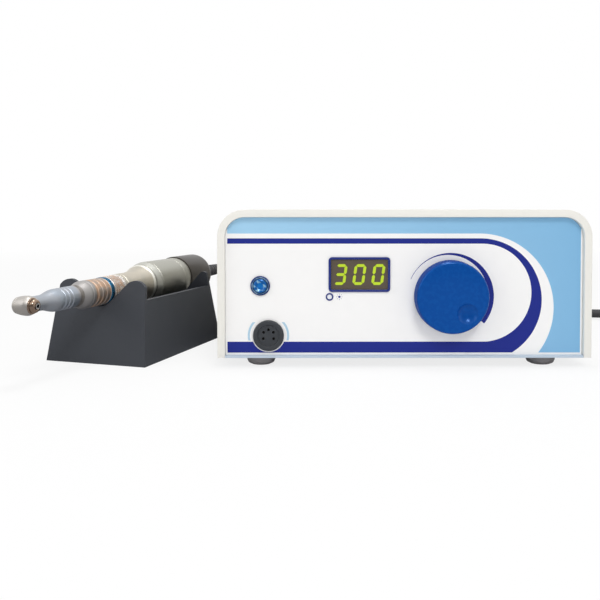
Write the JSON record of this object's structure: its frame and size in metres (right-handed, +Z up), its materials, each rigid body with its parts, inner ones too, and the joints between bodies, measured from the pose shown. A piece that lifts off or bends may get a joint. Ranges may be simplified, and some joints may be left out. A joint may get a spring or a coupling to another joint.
{
  "type": "dental micromotor",
  "caption": "Dental micromotor set: control unit with display, speed knob and motor socket, a notched stand, and a corded motor handpiece with a right-angle head.",
  "frame": {"origin": "on the table under the middle of the control unit's case", "axes": "+X to the right as seen from the front, +Y from the front panel to the rear panel, +Z up"},
  "size_m": [0.6001, 0.3795, 0.106],
  "materials": {
    "cream_plastic": "smooth moulded",
    "panel_plastic": "smooth",
    "printed_film": "printed satin film",
    "navy_plastic": "smooth",
    "knob_plastic": "smooth",
    "button_plastic": "translucent",
    "lamp_lens": "frosted",
    "display_face": "dark filter",
    "lit_segment": "lit",
    "black_plastic": "fine texture",
    "stand_plastic": "satin moulded",
    "rubber": "matt",
    "tie_plastic": "smooth",
    "steel": "turned",
    "knurled_steel": "knurled",
    "grey_alloy": "satin",
    "blue_anodised": "anodised",
    "sink_alloy": "extruded",
    "magnet": "sintered",
    "brass": "turned",
    "copper": "wound wire",
    "board": "solder mask",
    "board_part": "sleeved",
    "carbon": "moulded"
  },
  "bodies": {
    "control_unit": {"case_cover": "cream_plastic", "base_tray": "cream_plastic", "front_panel": "panel_plastic", "panel_film": "printed_film", "rear_panel": "cream_plastic", "rubber_feet": "rubber", "foot_screws": "steel", "cover_screws": "steel", "display_frame_ring": "navy_plastic", "display_module": "display_face", "display_digits": "lit_segment", "display_board": "board", "run_lamp": "lamp_lens", "lamp_ring": "navy_plastic", "select_ring": "navy_plastic", "select_switch": "black_plastic", "motor_socket": "black_plastic", "socket_insert": "black_plastic", "socket_contacts": "brass", "speed_pot": "steel", "pot_nut": "steel", "main_board": "board", "board_parts": "board_part", "heat_sink": "sink_alloy", "transformer_core": "steel", "transformer_winding": "copper", "rocker_housing": "black_plastic", "foot_jack": "black_plastic", "mains_gland": "rubber", "mains_cord": "rubber", "mains_coil": "rubber", "mains_tie": "tie_plastic", "mains_plug": "black_plastic"},
    "knob": {"speed_knob": "knob_plastic", "pot_shaft": "steel"},
    "button": {"select_button": "button_plastic"},
    "rocker": {"power_rocker": "black_plastic"},
    "stand": {"stand_shell": "stand_plastic"},
    "handpiece": {"motor_housing": "grey_alloy", "nose_tube": "steel", "nose_sleeve": "grey_alloy", "marker_ring": "blue_anodised", "rear_cap": "black_plastic", "cord_boot": "rubber", "motor_magnets": "magnet", "brush_plate": "carbon", "motor_bearings": "steel", "hand_cord": "rubber", "hand_coil": "rubber", "hand_tie": "tie_plastic", "motor_plug": "black_plastic"},
    "chuck": {"chuck_ring": "knurled_steel"},
    "rotor": {"armature": "copper", "motor_shaft": "steel"},
    "attachment": {"attachment_sheath": "grey_alloy", "head_shell": "grey_alloy", "head_cap": "grey_alloy", "head_bush": "brass"},
    "drive": {"drive_shaft": "steel"},
    "spindle": {"head_spindle": "steel"}
  },
  "joints": [
    {"name": "speed_turn", "type": "hinge", "parent": "control_unit", "child": "knob", "pos_m": [0.031, -0.0915, 0.048], "axis": [0, -1, 0], "range_deg": [0, 270]},
    {"name": "select_press", "type": "slide", "parent": "control_unit", "child": "button", "axis": [0, 1, 0], "range_m": [0, 0.0012], "stiffness_N_per_m": 800},
    {"name": "power_rock", "type": "hinge", "parent": "control_unit", "child": "rocker", "pos_m": [0.085, 0.089, 0.071], "axis": [-1, 0, 0], "range_deg": [0, 16]},
    {"name": "stand_move", "type": "slide", "parent": "control_unit", "child": "stand", "axis": [-1, 0, 0], "range_m": [0, 0.1]},
    {"name": "handpiece_lift", "type": "slide", "parent": "stand", "child": "handpiece", "axis": [0, 0, 1], "range_m": [0, 0.12]},
    {"name": "chuck_turn", "type": "hinge", "parent": "handpiece", "child": "chuck", "pos_m": [-0.20359, -0.05767, 0.0492], "axis": [0.309, 0.9511, 0], "range_deg": [0, 40]},
    {"name": "rotor_spin", "type": "hinge", "parent": "handpiece", "child": "rotor", "pos_m": [-0.17964, 0.01604, 0.0492], "axis": [0.309, 0.9511, 0], "continuous": true},
    {"name": "head_pull", "type": "slide", "parent": "handpiece", "child": "attachment", "axis": [-0.309, -0.9511, 0], "range_m": [0, 0.03]},
    {"name": "drive_spin", "type": "hinge", "parent": "attachment", "child": "drive", "pos_m": [-0.22599, -0.12662, 0.0492], "axis": [0.309, 0.9511, 0], "continuous": true},
    {"name": "spindle_spin", "type": "hinge", "parent": "attachment", "child": "spindle", "pos_m": [-0.23295, -0.14802, 0.0492], "axis": [0.9511, -0.309, 0], "continuous": true}
  ],
  "couplings": [
    {"joint": "drive_spin", "follows": "rotor_spin", "ratio": 1},
    {"joint": "spindle_spin", "follows": "rotor_spin", "ratio": 1}
  ]
}
